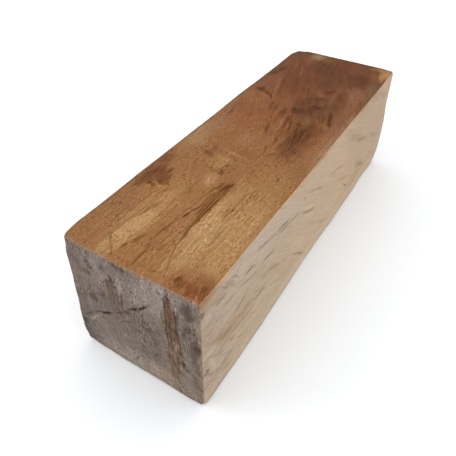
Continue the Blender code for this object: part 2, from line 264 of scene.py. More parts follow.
SIDE_MARKS = (
    # Broad patches of tone
    (28, 5, 22, 4.2, 4, 80, 188, 169, 153, 70), (43, 28, 8, 4, 20, 80, 174, 150, 122, 55),
    (30, 28.5, 14, 4, 0, 90, 194, 171, 144, 50), (84, 28.5, 30, 4, 0, 90, 199, 174, 144, 50),
    (14, 21, 9, 4, 8, 80, 174, 150, 122, 70), (53, 24.5, 5.5, 2, 25, 80, 200, 174, 148, 60),
    (62, 20, 8, 1.6, 30, 80, 190, 171, 144, 50), (105, 31, 8, 3.2, 10, 80, 178, 150, 118, 60),
    (122, 31, 4.4, 2.6, 30, 80, 196, 158, 126, 60), (116, 6, 5.5, 2.6, 10, 80, 184, 158, 142, 50),
    (98, 4.5, 12, 4.5, 4, 90, 176, 151, 128, 50), (25, 35, 9, 3, 5, 80, 181, 162, 136, 50),
    (2, 1.4, 4.5, 2.2, 0, 80, 158, 132, 108, 80), (6, 3.6, 6, 1.8, 8, 80, 166, 146, 122, 60),
    # Slanting strokes of the near half
    (0.7, 4, 0.8, 1.1, 0, 60, 120, 100, 80, 80), (7, 5.6, 2.4, 0.5, 22, 75, 148, 130, 108, 75),
    (12.4, 5.2, 2.8, 0.6, 50, 80, 152, 134, 112, 60), (4.2, 9.8, 5.5, 0.5, 0, 65, 146, 127, 108, 80),
    (11.6, 9.9, 3.6, 0.5, 4, 65, 142, 124, 104, 80), (4, 7.4, 5, 1, 0, 80, 192, 173, 156, 60),
    (20.8, 8.4, 1.6, 0.42, 5, 65, 120, 103, 92, 85), (23.2, 8.8, 1.7, 0.3, 15, 75, 150, 132, 116, 65),
    (29.6, 6.2, 3.6, 0.4, 8, 65, 148, 130, 114, 75), (33.4, 7.1, 2.2, 0.35, 20, 75, 156, 138, 120, 65),
    (37, 7.6, 2.9, 0.35, 8, 75, 150, 132, 114, 75), (40.4, 8.2, 3.4, 0.45, 8, 65, 136, 118, 98, 80),
    (41, 9.7, 3.6, 0.4, 10, 75, 142, 126, 106, 80), (46.8, 10.4, 3.1, 0.38, 13, 75, 148, 130, 110, 75),
    (19.4, 10.9, 3.6, 0.4, 20, 75, 152, 134, 116, 70), (24, 12.1, 4.1, 0.5, 10, 75, 150, 132, 112, 70),
    (30.6, 12.3, 3.1, 0.42, 3, 65, 134, 116, 100, 80), (29, 14, 4.1, 0.3, 0, 75, 156, 138, 120, 70),
    (30.6, 13.1, 1.9, 0.3, 0, 75, 204, 186, 170, 60), (13, 13.6, 3.6, 0.35, 5, 80, 162, 144, 124, 55),
    (17.4, 16.3, 2.8, 0.6, -4, 60, 146, 126, 100, 85), (10, 20.4, 3.6, 1.2, 20, 80, 154, 130, 104, 75),
    (15, 23.8, 3.4, 0.45, 3, 75, 142, 118, 94, 75), (20.4, 24.6, 3.8, 0.5, 5, 65, 138, 114, 92, 80),
    (13.6, 26.3, 1.9, 0.45, 30, 75, 146, 120, 98, 65), (28, 23, 2.9, 0.45, 15, 80, 158, 136, 110, 60),
    (36, 20, 4, 0.8, 28, 70, 160, 136, 110, 60), (29.5, 18, 3.1, 0.5, 32, 80, 160, 138, 112, 60),
    (3.2, 20, 3.2, 1, 10, 70, 196, 176, 158, 65), (3.6, 22.2, 3.1, 0.4, 45, 80, 164, 134, 122, 60),
    # Thin slanting lines between them
    (9, 3.2, 2.6, 0.2, 40, 60, 150, 128, 104, 70), (14.4, 4.6, 2.2, 0.2, 42, 60, 146, 126, 104, 70),
    (17.6, 8.8, 2.4, 0.18, 30, 60, 150, 132, 114, 65), (8, 12.4, 3.2, 0.18, 18, 60, 152, 132, 112, 65),
    (4.6, 17.6, 3, 0.2, 30, 60, 152, 130, 112, 65), (12.4, 18.6, 2.6, 0.18, 32, 60, 150, 128, 104, 65),
    (17, 21, 3.2, 0.18, 34, 60, 150, 128, 104, 60), (7.4, 25.4, 2.8, 0.18, 36, 60, 150, 126, 106, 65),
    (24, 27.4, 3, 0.18, 34, 60, 156, 134, 110, 60), (10, 28.8, 2.6, 0.18, 38, 60, 150, 126, 104, 65),
    (17.4, 30, 3.4, 0.2, 34, 60, 152, 128, 104, 60), (26, 20.6, 3, 0.18, 30, 60, 156, 136, 112, 60),
    (21, 15.6, 2.6, 0.18, 28, 60, 154, 134, 114, 60), (5, 33.6, 2.4, 0.18, 36, 60, 148, 124, 102, 60),
    (18.6, 35, 3, 0.18, 34, 60, 156, 132, 110, 55),
    # Small reddish knot by the near arris and the strokes below it
    (1.5, 25.9, 1, 1.3, -20, 40, 128, 99, 90, 90), (1.3, 25.7, 0.4, 0.6, -10, 50, 176, 152, 138, 85),
    (2.7, 28.3, 1.7, 0.4, 58, 80, 138, 115, 98, 65), (4, 29.7, 1.2, 0.4, 22, 80, 132, 110, 90, 70),
    (4.4, 26, 0.9, 3, -18, 70, 194, 174, 154, 65), (2.4, 15, 2.4, 1.6, 0, 80, 176, 148, 134, 50),
    (9, 31.2, 3.6, 0.4, -3, 80, 138, 114, 90, 75), (10, 32.8, 3.4, 0.32, 0, 75, 150, 126, 102, 65),
    (6, 30.7, 1.7, 0.35, 18, 75, 144, 120, 98, 65), (11, 35.4, 2.4, 0.7, 5, 60, 148, 120, 100, 80),
    # Strokes of the far half, which are fewer and longer
    (56.6, 15.2, 4.1, 0.38, 28, 65, 146, 124, 102, 85), (60.6, 17.1, 2, 0.36, 22, 65, 146, 124, 102, 80),
    (58, 14.3, 4.8, 0.35, 28, 80, 208, 190, 168, 50), (59, 9, 2.4, 0.4, 20, 75, 156, 134, 114, 70),
    (64.4, 11.6, 3.1, 0.4, 25, 75, 154, 132, 110, 70), (53, 7.6, 1.4, 0.32, 40, 75, 160, 140, 120, 65),
    (54.8, 31, 7.6, 0.62, 38, 50, 150, 124, 99, 85), (82.4, 14.6, 6, 0.5, 20, 75, 154, 130, 104, 75),
    (78, 13, 3.6, 0.4, 22, 80, 170, 144, 116, 60), (97, 10.5, 11, 1.1, 28, 80, 166, 144, 118, 75),
    (105.6, 15.4, 5, 0.8, 18, 70, 154, 130, 105, 85), (118, 20.4, 6.4, 1.1, 20, 80, 166, 143, 118, 65),
    (93.2, 28.3, 4.1, 0.45, 41, 65, 136, 108, 80, 80), (107, 27, 3.6, 1.4, 25, 80, 164, 135, 110, 70),
    (110.5, 29, 3, 0.6, 25, 70, 152, 126, 102, 60), (128, 34, 4.4, 1.2, 35, 80, 166, 138, 116, 60),
    (114, 2.4, 7, 1.3, 16, 80, 168, 140, 122, 65), (122, 5.2, 6, 1.1, 26, 80, 168, 140, 122, 65),
    (125.6, 6.4, 1.9, 1.6, 30, 80, 170, 138, 108, 60), (128.4, 9.6, 3.2, 0.8, 42, 70, 200, 167, 126, 70),
    (72, 29.8, 11, 0.6, 32, 80, 172, 146, 118, 50), (88, 22.5, 9, 0.7, 25, 80, 172, 148, 120, 50),
    # Brown of the top showing along the arris, the paler foot, and a greyer line of painted shade
    # along the foot edge
    (2.5, 0, 4.4, 1.1, 0, 80, 172, 128, 88, 85), (9.5, 0.2, 2.6, 1, 10, 80, 198, 162, 122, 70),
    (32, 0.2, 8, 0.8, 0, 80, 198, 172, 140, 50), (42, 0.3, 4.4, 0.9, 0, 80, 200, 168, 120, 60),
    (48, 0.2, 5.4, 0.9, 0, 80, 196, 152, 116, 70), (57, 0.2, 6.4, 0.9, 0, 80, 184, 148, 114, 60),
    (64.5, 0.2, 5, 0.8, 0, 80, 158, 124, 90, 60), (69, 0.5, 3.4, 0.9, 12, 80, 198, 152, 122, 60),
    (80, 0.3, 6, 0.8, 0, 80, 190, 154, 122, 60), (92, 0.5, 5.4, 1, 5, 80, 188, 150, 120, 60),
    (101, 0.3, 5.4, 0.9, 0, 80, 168, 130, 98, 60), (112, 0.2, 6, 0.9, 0, 80, 168, 124, 96, 60),
    (123, 1.2, 4.4, 1, 25, 80, 202, 168, 134, 60), (66, 36.6, 70, 3, 0, 80, 203, 181, 156, 60),
    (66, 40.3, 80, 1.2, 0, 80, 174, 156, 138, 60),
)
# The end's grey-brown ground: partly the wood's own tone, partly painted shade that greys and darkens
# the end
END_BASE = (
    (0, (124, 109, 100)), (8, (127, 113, 103)), (20, (122, 108, 99)), (30, (126, 112, 103)),
    (40, (130, 116, 106)),
)
END_MARKS = (
    # Broad grey patches, lighter and darker, over the ground
    (4.6, 4, 5, 4, -20, 80, 112, 98, 94, 75), (10.4, 4, 4, 4, 0, 80, 136, 123, 116, 70),
    (28.8, 5, 5, 6.4, 0, 90, 153, 142, 134, 85), (22, 36, 13, 4, 0, 90, 150, 135, 122, 45),
    (9, 9, 6, 5, 0, 90, 136, 122, 114, 50), (9.6, 21.4, 7, 5.4, 0, 80, 114, 100, 91, 70),
    (2, 26, 2.4, 7, 0, 80, 114, 103, 96, 60), (23.6, 7.4, 5.4, 4, -30, 80, 142, 130, 122, 75),
    (26.6, 36, 9.8, 3.4, 0, 80, 153, 136, 118, 85), (10, 29.4, 7, 5.6, 0, 80, 130, 117, 107, 70),
    (16, 36.8, 9, 3, 0, 80, 148, 137, 127, 80), (1.6, 32, 3, 9, 0, 90, 102, 92, 87, 70),
    (24, 21, 4, 6, -10, 80, 114, 101, 93, 60),
    # Dark and light dabs by the top arris
    (17.2, 1.3, 2.3, 0.7, 8, 60, 96, 81, 80, 80), (12.2, 4.2, 1.1, 1.3, 20, 70, 98, 85, 83, 80),
    (13.6, 2.4, 0.4, 1.6, 28, 60, 152, 140, 134, 70), (16.8, 7.6, 0.8, 2.4, -5, 70, 152, 140, 132, 70),
    # Faint brown streak on the left
    (14.3, 13.4, 1.5, 6.8, 0, 70, 110, 92, 79, 85), (15.2, 17.5, 1.6, 2.8, 0, 70, 120, 98, 87, 70),
    (14.3, 7.6, 0.28, 1.8, 2, 60, 86, 70, 59, 85), (13.2, 11, 0.3, 3, 0, 60, 92, 75, 62, 85),
    (14.3, 12.6, 0.3, 3.4, 0, 60, 86, 68, 55, 85), (15.4, 12.8, 0.3, 3.6, -2, 60, 94, 77, 65, 80),
    (17, 12.2, 0.28, 1.9, 2, 60, 82, 68, 60, 85), (16.7, 15.8, 0.3, 2.6, -3, 60, 94, 80, 72, 75),
    # Stains beside it
    (10.4, 13.4, 1.3, 2.2, 0, 70, 102, 87, 85, 75), (5.4, 8.6, 1.7, 0.9, -10, 70, 106, 92, 80, 75),
    (4, 12.2, 2.2, 0.9, -12, 70, 110, 94, 82, 65), (6.2, 18, 2.6, 1.4, -8, 60, 97, 85, 76, 85),
    (7, 20.6, 3.2, 1, -14, 70, 120, 112, 112, 75),
    # Brown streak on the right
    (31.6, 13, 2, 11, 0, 30, 115, 93, 77, 95), (31.6, 25, 2.1, 9.6, -1, 30, 120, 99, 84, 90),
    (31.5, 7.6, 1.4, 3.8, 0, 50, 113, 86, 71, 80), (31.9, 15.2, 1.9, 2.6, 0, 60, 100, 78, 62, 80),
    (32.4, 21, 1, 5, 0, 70, 124, 98, 87, 75), (30.1, 19.5, 0.3, 7, 0, 60, 100, 79, 64, 75),
    (32.9, 25, 0.22, 5, 0, 60, 96, 80, 64, 75), (30.2, 10, 0.24, 5.6, 0, 60, 88, 68, 53, 85),
    (31.2, 17, 0.22, 8.6, 0, 60, 92, 71, 57, 80), (33.1, 11, 0.26, 6, -3, 60, 80, 61, 50, 85),
    (33.8, 19, 0.24, 6, -2, 60, 88, 74, 59, 80), (32.4, 28.5, 0.24, 5, 0, 60, 94, 78, 62, 80),
    (30.6, 31, 0.24, 3, 0, 60, 96, 82, 68, 75), (31.1, 3.4, 0.28, 1, 4, 60, 82, 60, 48, 90),
    (31.9, 3.3, 0.22, 0.9, -3, 60, 84, 62, 50, 85), (30.3, 5.4, 0.24, 1.5, 0, 60, 88, 68, 54, 85),
    # Greenish rim and the stains beyond it
    (34.8, 16.4, 0.8, 8, 0, 50, 119, 112, 99, 85), (34.3, 25.6, 0.6, 1.4, 8, 50, 76, 70, 52, 95),
    (35.3, 27, 0.7, 0.6, 20, 60, 92, 84, 66, 85), (33.4, 2, 1.7, 2, 0, 70, 134, 126, 115, 80),
    (36, 4.2, 1.6, 2.2, 30, 60, 94, 82, 76, 90), (37.4, 6.2, 1.7, 0.7, -48, 60, 90, 78, 72, 85),
    (39, 8.4, 1.5, 2, 0, 70, 145, 135, 122, 80), (36.4, 12.6, 1.9, 3.6, 0, 70, 101, 89, 81, 85),
    (38.7, 16.3, 1.5, 1.8, 0, 60, 88, 71, 63, 90), (37, 19.4, 1.4, 2.2, 10, 70, 95, 81, 73, 80),
    (38.3, 24, 1.6, 3, 0, 80, 106, 91, 82, 70), (38, 31, 1.4, 4, 0, 80, 113, 95, 83, 70),
    (35, 36.4, 3, 3, 0, 80, 132, 117, 106, 60),
    # Small dabs over the whole end
    (24.2, 19.4, 1.5, 0.8, -40, 70, 94, 83, 75, 80), (26, 15.4, 0.9, 0.5, -30, 70, 96, 85, 77, 75),
    (25.4, 21.6, 0.8, 0.4, -30, 70, 98, 87, 79, 70), (20.4, 21, 0.3, 1.6, 5, 70, 96, 85, 77, 70),
    (17.6, 20.2, 1.2, 0.5, -30, 70, 98, 86, 78, 75), (9, 15.6, 1.4, 0.6, -10, 70, 100, 87, 80, 70),
    (7.6, 5.4, 1.8, 0.9, 30, 70, 98, 84, 84, 75), (3.2, 6.4, 1.2, 0.9, 40, 70, 102, 88, 88, 70),
    (24.6, 8, 0.5, 2.4, 10, 70, 152, 142, 134, 60), (36.8, 22.8, 0.9, 0.4, -20, 70, 90, 76, 68, 75),
    (37.6, 9.8, 1.1, 0.35, -50, 70, 98, 86, 78, 75), (20.3, 18.4, 0.4, 2, 3, 70, 102, 90, 81, 70),
    (22.4, 30.6, 2.2, 0.35, 52, 60, 98, 86, 78, 75), (24.8, 24, 0.3, 3.4, 30, 70, 102, 91, 84, 60),
    (26, 27.7, 0.5, 0.9, 25, 60, 90, 78, 72, 80), (19, 34.2, 0.3, 1.4, 30, 70, 110, 97, 90, 70),
    (29, 3, 0.6, 0.45, 0, 60, 98, 84, 76, 75),
    # Darkness in and about the drying checks
    (9.3, 22.4, 2.1, 0.42, -30, 50, 66, 54, 47, 95), (11.6, 20.8, 1.4, 0.34, -38, 60, 80, 66, 57, 90),
    (14.6, 19.2, 1.3, 0.34, -28, 60, 88, 74, 65, 85), (17.2, 17.3, 1.8, 0.36, -28, 60, 92, 78, 69, 80),
    (20.3, 14.2, 1.5, 0.28, -28, 60, 66, 54, 47, 90), (22.9, 12, 1.5, 0.24, -48, 60, 70, 58, 51, 90),
    (24.4, 10.6, 0.8, 0.26, -40, 60, 88, 75, 68, 80), (6.4, 23.7, 1.5, 0.28, -30, 60, 88, 76, 70, 85),
    (3.8, 26.2, 2.8, 0.3, -48, 60, 84, 74, 69, 85), (5.3, 26.7, 2.7, 0.32, -50, 60, 160, 148, 135, 80),
    (3.8, 28.9, 1.6, 0.3, -42, 60, 152, 139, 127, 75), (2.6, 30, 2.4, 0.3, -45, 60, 92, 82, 76, 80),
    (1.2, 31.2, 1.6, 1.2, -45, 60, 82, 74, 70, 80), (0.8, 34.2, 1.2, 1.6, 0, 70, 88, 82, 78, 75),
    # Tones along the arrises. The dark line along the foot edge is painted shade; the tan line by the
    # pale side and the golden line by the top are tones of the wood
    (20, 40.2, 24, 0.8, 0, 80, 104, 96, 90, 60), (39.85, 20, 0.35, 22, 0, 70, 156, 124, 94, 70),
    (20, 0, 24, 0.7, 0, 80, 164, 126, 92, 70),
)
BACK_BASE = (
    (0, (150, 106, 70)), (14, (158, 112, 73)), (30, (140, 95, 62)), (44, (152, 108, 73)),
    (60, (156, 116, 80)), (75, (143, 99, 66)), (90, (128, 85, 56)), (105, (117, 76, 50)),
    (120, (109, 71, 47)), (132, (112, 74, 50)),
)
BACK_MARKS = (
    # Lenses and the dark patch that carry over from the top
    (12, 8, 13, 3, 4, 60, 176, 134, 90, 85), (20, 17, 16, 3.4, 8, 40, 186, 146, 100, 95),
    (10, 31, 14, 5, 6, 70, 172, 128, 84, 85), (58, 3, 11, 3.4, 0, 80, 163, 127, 92, 80),
    (31, 2, 5.6, 4.6, 15, 60, 108, 69, 42, 90), (35, 7, 3.6, 2.4, 35, 70, 116, 74, 46, 80),
    # Flame and its lines
    (24, 24.6, 13, 1.7, 9, 40, 138, 92, 55, 90), (20, 23.6, 9, 0.26, 8, 60, 104, 62, 34, 85),
    (25, 25, 10, 0.28, 9, 60, 100, 58, 30, 85), (30, 26.6, 6, 0.24, 10, 60, 110, 68, 38, 80),
    (34.5, 26.4, 2.6, 0.6, 12, 50, 88, 50, 25, 95), (13, 22.4, 1.6, 0.45, 14, 50, 94, 54, 27, 90),
    (17, 29.8, 8, 0.3, 6, 70, 132, 88, 52, 75), (8, 12.6, 6, 0.3, 4, 70, 136, 92, 56, 75),
    # Eye
    (48, 18.6, 6, 4.6, 10, 70, 172, 128, 86, 85), (48, 18.4, 3, 2.2, 15, 60, 142, 96, 60, 75),
    (48.2, 18.2, 1.7, 1.3, 15, 50, 180, 136, 98, 80), (48.3, 18.3, 0.7, 0.6, 0, 50, 98, 60, 34, 90),
    (54.6, 23.4, 0.8, 0.7, 0, 60, 104, 64, 38, 85),
    # Dark figure of the middle
    (42, 33.4, 7, 2.2, 14, 70, 122, 80, 50, 80), (40, 33.8, 4, 0.5, 16, 60, 98, 60, 36, 80),
    (46, 34.6, 3.4, 0.4, 8, 60, 92, 55, 33, 80), (62, 31, 10, 3.4, 12, 60, 174, 132, 90, 80),
    (64, 13.4, 4.6, 0.6, 16, 60, 112, 70, 43, 80), (70, 16.2, 5, 0.7, 20, 60, 106, 66, 40, 85),
    (73, 13, 2.4, 1.3, 0, 60, 102, 61, 36, 85), (66, 20.6, 3.4, 0.5, 12, 70, 116, 75, 46, 75),
    (78, 21.6, 6, 3.2, 25, 80, 112, 72, 46, 80), (80, 22.4, 3.6, 0.8, 28, 60, 92, 55, 34, 85),
    (84.6, 25.4, 1.4, 1, 20, 60, 88, 48, 31, 85), (76, 33.6, 6, 1.6, 10, 80, 146, 101, 68, 70),
    # Far half, which is darker and redder
    (92, 2.4, 1.5, 3.4, -8, 60, 98, 60, 37, 85), (90.8, 7.6, 1, 3.2, 14, 60, 104, 63, 39, 85),
    (86, 11, 5, 3.4, 10, 80, 142, 98, 68, 70), (98, 14.6, 7, 3.6, 18, 80, 134, 91, 65, 65),
    (103, 22, 8, 5, 15, 80, 101, 65, 42, 80), (100, 20.6, 2.8, 0.6, 25, 60, 86, 51, 31, 85),
    (106, 24.6, 3.4, 0.6, 12, 60, 88, 52, 32, 85), (96, 33, 7, 3, 12, 80, 132, 90, 63, 70),
    (112, 9, 8, 4, 12, 80, 96, 61, 40, 80), (112, 8.6, 4, 0.5, 16, 70, 136, 92, 66, 50),
    (118, 30.6, 7, 4.4, 20, 80, 99, 62, 41, 80), (119, 19, 4, 2.4, 10, 70, 134, 92, 66, 70),
    (127, 24, 2.8, 5, 10, 80, 128, 94, 64, 70), (125.6, 12.4, 1.1, 0.9, 0, 60, 84, 50, 30, 85),
    # Painted shade along the arrises: dark lines along the foot edge and the far edge
    (66, 40.2, 80, 0.9, 0, 80, 100, 76, 58, 70), (132.4, 20, 1.1, 24, 0, 80, 92, 70, 54, 80),
)
FOOT_BASE = (
    (0, (152, 108, 72)), (20, (162, 117, 79)), (45, (152, 108, 72)), (70, (146, 102, 69)),
    (95, (132, 90, 62)), (115, (120, 80, 55)), (132, (122, 84, 58)),
)
FOOT_MARKS = (
    # Brown figure, as on top
    (22, 10, 16, 4, 4, 60, 180, 138, 94, 85), (30, 19, 11, 1.5, 5, 50, 138, 92, 56, 85),
    (30, 19.2, 9, 0.3, 5, 60, 102, 61, 33, 80), (38.6, 20, 2, 0.6, 8, 50, 90, 52, 27, 90),
    (64, 9, 9, 4, -8, 80, 118, 77, 50, 75), (66, 9.4, 4, 0.6, -10, 60, 92, 55, 33, 80),
    (84, 17, 8, 3.4, -12, 80, 136, 94, 66, 75), (92, 8, 3, 2, 20, 70, 100, 61, 38, 85),
    (108, 14, 9, 5, -8, 80, 104, 68, 45, 80), (121, 7, 5, 3, 0, 80, 134, 92, 66, 70),
    # Pale sapwood along one side, and its strokes
    (66, 42, 92, 15, 1, 25, 186, 164, 139, 97), (30, 33, 12, 1, 4, 70, 164, 140, 112, 75),
    (78, 34.6, 14, 0.9, 6, 70, 166, 142, 116, 75), (110, 36, 9, 0.8, 8, 70, 160, 136, 112, 75),
    (12, 36, 4, 0.6, 3, 60, 150, 126, 104, 80), (52, 37, 5, 0.5, 4, 60, 152, 128, 104, 80),
)
FAR_BASE = (
    (0, (120, 103, 88)), (14, (131, 113, 97)), (27, (126, 108, 93)), (40, (150, 130, 112)),
)
FAR_MARKS = (
    # Broad patches, with the pale sapwood at one side and a golden corner
    (8, 7, 7, 5, -25, 80, 108, 89, 75, 85), (24, 10, 7, 5, -30, 80, 143, 126, 110, 80),
    (10, 31, 8, 5, 10, 80, 138, 121, 106, 75), (22, 28, 6, 7, -10, 80, 114, 98, 85, 75),
    (39, 22, 4.6, 20, 0, 60, 172, 147, 123, 90), (37, 2, 6.5, 3.2, -12, 40, 168, 128, 86, 90),
    # Two brown streaks
    (12.6, 17, 2.1, 12, 8, 35, 112, 88, 70, 85), (12, 12, 0.3, 6, 8, 60, 86, 68, 55, 80),
    (13.4, 19, 0.28, 8, 8, 60, 90, 72, 58, 80), (11.2, 22, 0.28, 6, 7, 60, 94, 76, 62, 75),
    (26.6, 20, 1.5, 10, 5, 50, 118, 93, 75, 80), (27, 17, 0.28, 6, 5, 60, 92, 72, 58, 80),
    # Crack and stains
    (18, 13.4, 2.8, 0.42, -38, 50, 68, 56, 49, 95), (21.4, 10.6, 1.8, 0.36, -46, 50, 72, 60, 52, 90),
    (15, 16.4, 1.8, 0.32, -36, 60, 90, 76, 66, 85), (30.4, 30, 2.8, 0.4, 40, 60, 92, 78, 67, 80),
    (6, 20, 2.4, 1.2, -10, 70, 98, 84, 74, 80), (20, 35, 2.6, 1, -12, 70, 102, 88, 78, 75),
    (33, 14, 1.6, 3.6, 5, 70, 140, 118, 98, 75), (3, 35, 3, 3, 0, 70, 98, 86, 76, 75),
    # Tones along the arrises. The dark line along the foot edge is painted shade; the brown line by the
    # top is a tone of the wood
    (20, 40.2, 24, 0.8, 0, 80, 104, 94, 84, 60), (20, 0, 24, 0.6, 0, 80, 124, 94, 70, 70),
)

# Noises of the wood: the size of their clouds in millimetres, their detail and their curl
SLOW_TONE = (16, 2)
CLOUDS = (5, 3)
SMALL_CLOUDS = (2.2, 3)
BROAD_FIBRES = (2.0, 3)
FIBRES = (0.36, 3)
SPECKLE = (0.4, 2, 1.0)
DOTS = (0.34, 2, 0.6)
STROKES = (1.3, 2)
LINE_DETAIL = 2
# How places on a face are pushed about, so that nothing drawn there has a clean rim: the size of
# the pushes and how far they reach
PUSHES = ((3.5, 0.2), (0.7, 0.1))
PUSH_DETAIL = 2
# How far broad fibres, small clouds and fibres fray the rim of a mark, in its own units
FRAYS = (0.32, 0.26, 0.12)
# How far the slow noise moves the ground colour along the face, in millimetres
DRIFT = 3.0
# How much shorter a speckle is than a fibre
SPECKLE_SHORTNESS = 4.0

# Easings, as (from, to, value at the first, value at the second): of the fine grain over the
# clouds, of the glints over the dots, and of the dark strokes over their noise
FINE_BY_CLOUD = (-1.1, 0.9, 0.3, 1.45)
GLINT_BY_DOT = (-0.1, 1.2, -0.25, 1.0)
STROKE_BY_NOISE = (0.1, 0.8, 0.0, 1.0)
# The stretch of a face where the dark strokes set in, are full, begin to fade and have faded
FEATHER_REACH = (52, 74, 100, 118)
FEATHERS_LEFT = 0.3
# Breadth over length of the grain lines and of the dark strokes
LINE_STRETCH = 0.05
STROKE_STRETCH = 0.22
# How far from zero the long noise may be where it still draws a line
LINE_WIDTH = 0.16
# Keeps the noises of lines and strokes apart from that of the fibres
LINE_SLICE = 3
STROKE_SLICE = 5

# How strongly the grain's light and dark show in red, green and blue
TINT = (0.9, 1.0, 1.15)
SPECULAR = 0.05
ROUGHNESS = 0.58
ROUGHNESS_BY_CLOUD = 0.05
ROUGHNESS_BY_SPECKLE = 0.04
BUMP = 0.02


@dataclass
class Look:
    """How one sawn face is finished: lengths in millimetres, strengths as shares of the colour."""

    axes: tuple  # the grain axes that run along the face and down it
    light: tuple  # how brightly the studio shows it
    ground: tuple  # its colour at places along it
    marks: tuple
    bend: tuple  # where the fibres' slope sets in, where it is full, the pivot and the slope
    offset: float  # sets its noise apart from the other faces'
    upright: bool = False  # whether the fibres run down the face
    stretch: float = 0.1  # breadth of a fibre over its length
    clouds: float = 0.05
    small_clouds: float = 0.05
    broad_fibres: float = 0.05
    fibres: float = 0.14
    speckle: float = 0.31
    glints: float = 0.3  # tiny light dots
    feathers: float = 0.16  # dark strokes among the figure
    lines: tuple = (1.3, 0.22)  # spacing of the fine dark grain lines and their strength
    line_fade: tuple = (38, 70, 1.0, 0.15)  # how the lines ease off along the face
    fine_fade: tuple = (40, 120, 1.0, 0.5)  # the same for all fine grain
    cloud_fade: tuple = (45, 92, 0.85, 2.2)  # and for the clouds


# Courses of the fibres, as in Look.bend, and a fade that leaves all as it is
LEVEL = (50, 90, 66, 0.27)
FALLING = (0, 80, 50, -0.25)
SLOPING = (5, 60, 20, -0.5)
UPRIGHT = (18, 34, 20, -0.5)
EVEN = (0, 40, 1.0, 1.0)
END_GRAIN = dict(
    upright=True, stretch=0.16, clouds=0.09, small_clouds=0.11, broad_fibres=0.06, fibres=0.26,
    speckle=0.46, glints=0.24, feathers=0, lines=(2.2, 0.14), line_fade=EVEN, cloud_fade=EVEN,
)
# The pale side's faint grain: partly that of pale sapwood, partly washed out as under painted sheen
SAPWOOD_AND_SHEEN = dict(
    clouds=0.015, small_clouds=0.02, broad_fibres=0.03, fibres=0.06, speckle=0.06, glints=0.08,
    feathers=0, lines=(2.2, 0.12), line_fade=(0, 132, 1.0, 0.7), fine_fade=(10, 55, 1.6, 0.75),
    cloud_fade=EVEN,
)
LOOKS = {
    "near": Look((1, 2), END_LIGHT, END_BASE, END_MARKS, UPRIGHT, 7.0, **END_GRAIN),
    "far": Look((1, 2), END_LIGHT, FAR_BASE, FAR_MARKS, UPRIGHT, 23.0, **END_GRAIN),
    "back": Look((0, 2), TOP_LIGHT, BACK_BASE, BACK_MARKS, FALLING, 31.0),
    "pale": Look((0, 2), SIDE_LIGHT, SIDE_BASE, SIDE_MARKS, SLOPING, 47.0, **SAPWOOD_AND_SHEEN),
    "top": Look((0, 1), TOP_LIGHT, TOP_BASE, TOP_MARKS, LEVEL, 0.0),
    "foot": Look((0, 1), TOP_LIGHT, FOOT_BASE, FOOT_MARKS, LEVEL, 61.0),
}
# Inputs of the node group that lays a mark, in the order in which add_marks fills them
MARK_SOCKETS = (
    ("Base", "Color"), ("Field", "Vector"), ("Along", "Vector"), ("Across", "Vector"),
    ("Ragged", "Float"), ("Inner", "Float"), ("Outer", "Float"), ("Strength", "Float"),
    ("Paint", "Color"),
)
# How far the centred noise swings: a cloud's middle is then about 1 from the mean
NOISE_SWING = 5.0
# The sockets of a mix node for its first colour, its second colour and the result
MIX_SOCKETS = (6, 7, 2)

# The studio, in metres: a pale floor, an even sky and a soft light from behind the block
FLOOR_REACH = 6.0
FLOOR_COLOUR = (0.85, 0.87, 0.89, 1.0)
FLOOR_ROUGHNESS = 0.9
FLOOR_SPECULAR = 0.2
SKY_COLOUR = (1, 1, 1, 1)
SKY_STRENGTH = 1.3
KEY_PLACE = (-0.4, 0.7, 0.65)
KEY_SIZE = 0.45
KEY_POWER = 1.4

# The photograph's viewpoint: place in metres, turn in degrees, lens and sensor in millimetres
CAMERA_PLACE = (-0.118159, -0.057312, 0.117778)
CAMERA_TURN = (48.362, -0.549, -58.858)
LENS = 38.82
SENSOR = 36
CLIP_START = 0.005


def plane(name):
    """(unit outward normal, offset) of a sawn face, in millimetres."""
    axis, side, leans = FACES[name]
    outward = np.zeros(3)
    outward[axis] = side
    middle = np.array((0.0, 0.0, HEIGHT / 2))
    point = middle + outward * SIZE[axis] / 2
    others = [other for other in range(3) if other != axis]
    for other, lean in zip(others, leans):
        outward[other] = -side * math.tan(math.radians(lean))
    outward /= np.linalg.norm(outward)
    return outward, float(outward @ point)


PLANES = {name: plane(name) for name in FACES}


def sharp_corners():
    """Where three sawn faces meet, as an array by (end, side, level)."""
    corners = np.zeros((2, 2, 2, 3))
    for choice in np.ndindex(2, 2, 2):
        met = [PLANES[ENDS[axis][choice[axis]]] for axis in range(3)]
        corners[choice] = np.linalg.solve([m[0] for m in met], [m[1] for m in met])
    return corners


def stations(length, cells):
    """Grid places from 0 to 1, close together at both ends."""
    growing = []
    place, step = 0.0, EDGE_CELL
    while True:
        even = (length - 2 * place) / (cells - 2 * len(growing))
        if step >= even:
            break
        place += step
        growing.append(place)
        step *= EDGE_GROWTH
    between = cells - 2 * len(growing)
    middle = np.linspace(place, length - place, between + 1)
    start = [0.0] + growing[:-1] if growing else []
    far = [length - p for p in reversed(start)]
    return np.array(start + list(middle) + far) / length


